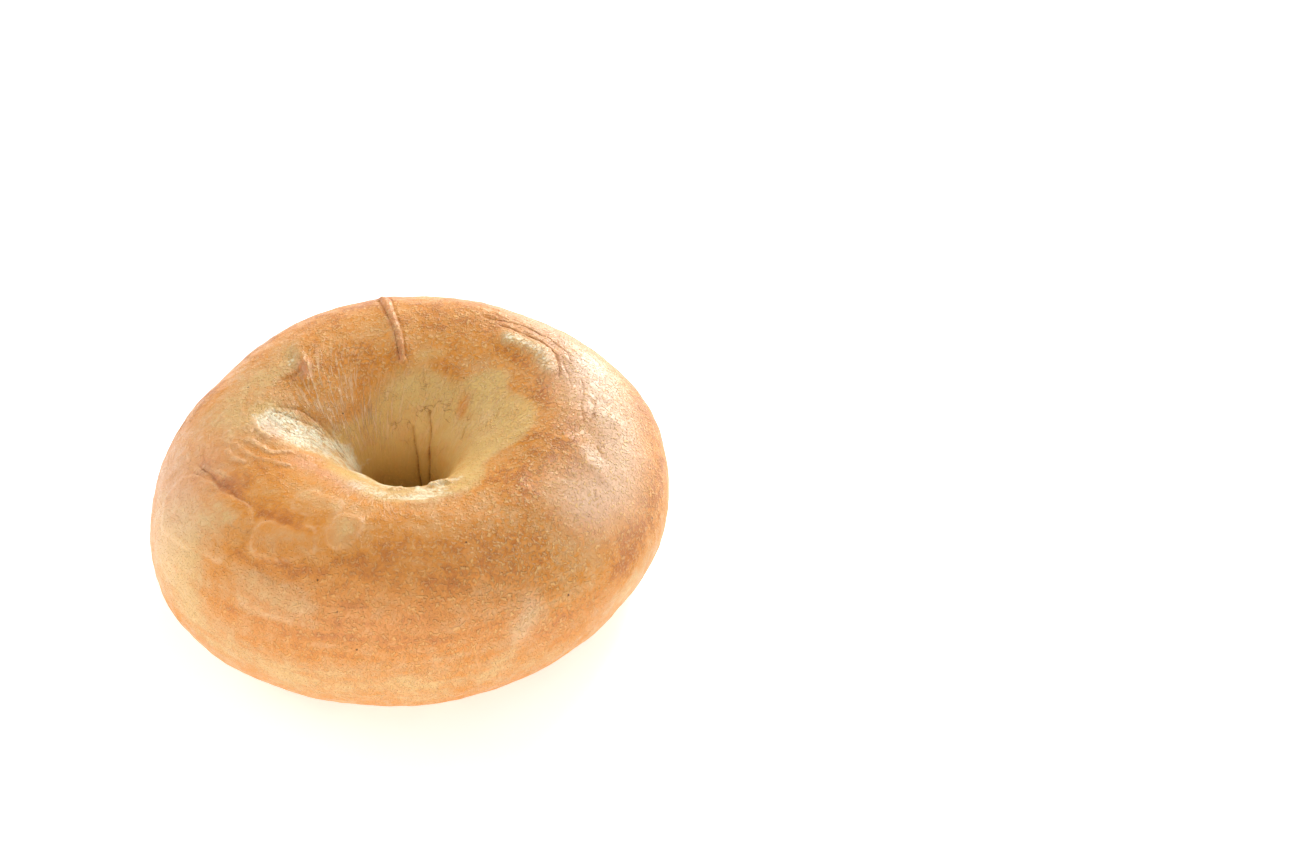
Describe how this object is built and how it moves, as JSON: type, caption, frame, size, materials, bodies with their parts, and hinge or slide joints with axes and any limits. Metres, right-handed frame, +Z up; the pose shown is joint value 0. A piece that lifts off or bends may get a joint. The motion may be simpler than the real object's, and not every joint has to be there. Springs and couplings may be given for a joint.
{
  "type": "bagel",
  "caption": "Plain whole baked ring of bread with a narrow funnel-shaped hole, a golden brown crust and a flat underside.",
  "frame": {"origin": "middle of the footprint, on the surface that the flat underside rests on", "axes": "+Z up out of the hole; the pictured side faces -Y, with +X to its right"},
  "size_m": [0.102, 0.1014, 0.0398],
  "materials": {
    "crust": "satin"
  },
  "bodies": {
    "root": {"bagel": "crust"}
  },
  "joints": []
}
